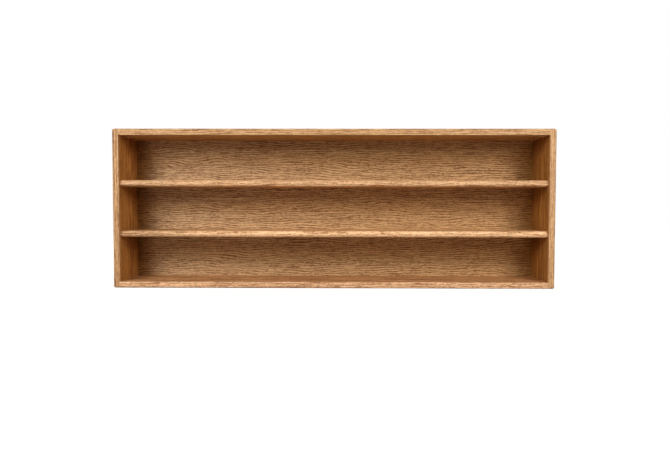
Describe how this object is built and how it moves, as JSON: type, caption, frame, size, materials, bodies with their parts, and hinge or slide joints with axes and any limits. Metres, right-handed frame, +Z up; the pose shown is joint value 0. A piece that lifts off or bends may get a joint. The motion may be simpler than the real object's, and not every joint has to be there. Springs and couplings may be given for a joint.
{
  "type": "cd storage cabinet",
  "caption": "Long, low, open-fronted oak cabinet with a back panel and fixed bullnosed shelves, made to hold rows of compact disc cases standing upright.",
  "frame": {"origin": "centre of the footprint, on the surface that the case stands on", "axes": "+X along the width, to the right seen from the open front; +Y from the open front to the back; +Z up"},
  "size_m": [1.3208, 0.1714, 0.4762],
  "materials": {
    "solid_oak": "clear satin lacquer on solid oak",
    "oak_veneer": "clear satin lacquer on oak veneer, grain lengthwise",
    "dowel_wood": "plain beech dowel",
    "screw_steel": "zinc-plated steel"
  },
  "bodies": {
    "root": {"top_board": "solid_oak", "bottom_board": "solid_oak", "left_side": "solid_oak", "right_side": "solid_oak", "upper_shelf": "solid_oak", "lower_shelf": "solid_oak", "back_panel": "oak_veneer", "top_left_dowels": "dowel_wood", "top_right_dowels": "dowel_wood", "bottom_left_dowels": "dowel_wood", "bottom_right_dowels": "dowel_wood", "back_panel_screws": "screw_steel"}
  },
  "joints": []
}
